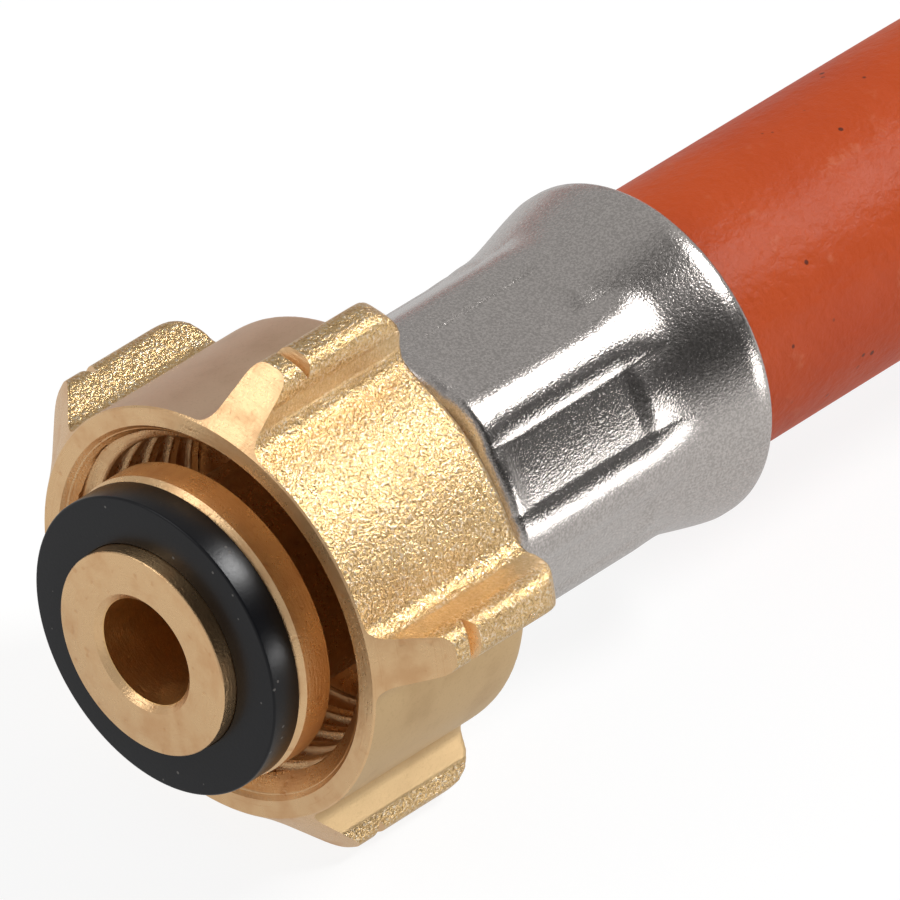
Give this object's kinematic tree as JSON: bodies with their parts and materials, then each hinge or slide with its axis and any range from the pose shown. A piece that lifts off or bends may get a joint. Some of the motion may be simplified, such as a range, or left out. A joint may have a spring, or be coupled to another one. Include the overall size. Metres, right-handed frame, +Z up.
{
  "type": "flexible gas hose",
  "caption": "Rubber gas hose with a winged brass union nut, flat seal and nipple at one end, a hexagon union nut on a ball nipple at the other, and crimped steel ferrules.",
  "frame": {"origin": "on the surface that the hose lies on, under the middle of the fitting with the wing nut", "axes": "+X along the fitting with the wing nut, from its seal towards the hose; +Z up; the hose lies in a U on the +Y side"},
  "size_m": [0.1849, 0.2189, 0.0285],
  "materials": {
    "forged_brass": "forged and sand blasted, turned on the rim and the cone",
    "turned_brass": "turned",
    "plated_steel": "satin plated",
    "seal_rubber": "satin",
    "hose_rubber": "satin, lightly textured"
  },
  "bodies": {
    "hose_and_fittings": {"nipple": "turned_brass", "seal_ring": "seal_rubber", "ferrule": "plated_steel", "hose": "hose_rubber", "far_ferrule": "plated_steel", "far_nipple": "turned_brass"},
    "wing_nut": {"wing_nut": "forged_brass"},
    "far_nut": {"far_nut": "forged_brass"}
  },
  "joints": [
    {"name": "wing_nut_turn", "type": "hinge", "parent": "hose_and_fittings", "child": "wing_nut", "pos_m": [-0.00855, 0, 0.01302], "axis": [1, 0, 0], "continuous": true},
    {"name": "far_nut_turn", "type": "hinge", "parent": "hose_and_fittings", "child": "far_nut", "pos_m": [0.0031, 0.19, 0.012], "axis": [1, 0, 0], "continuous": true}
  ]
}
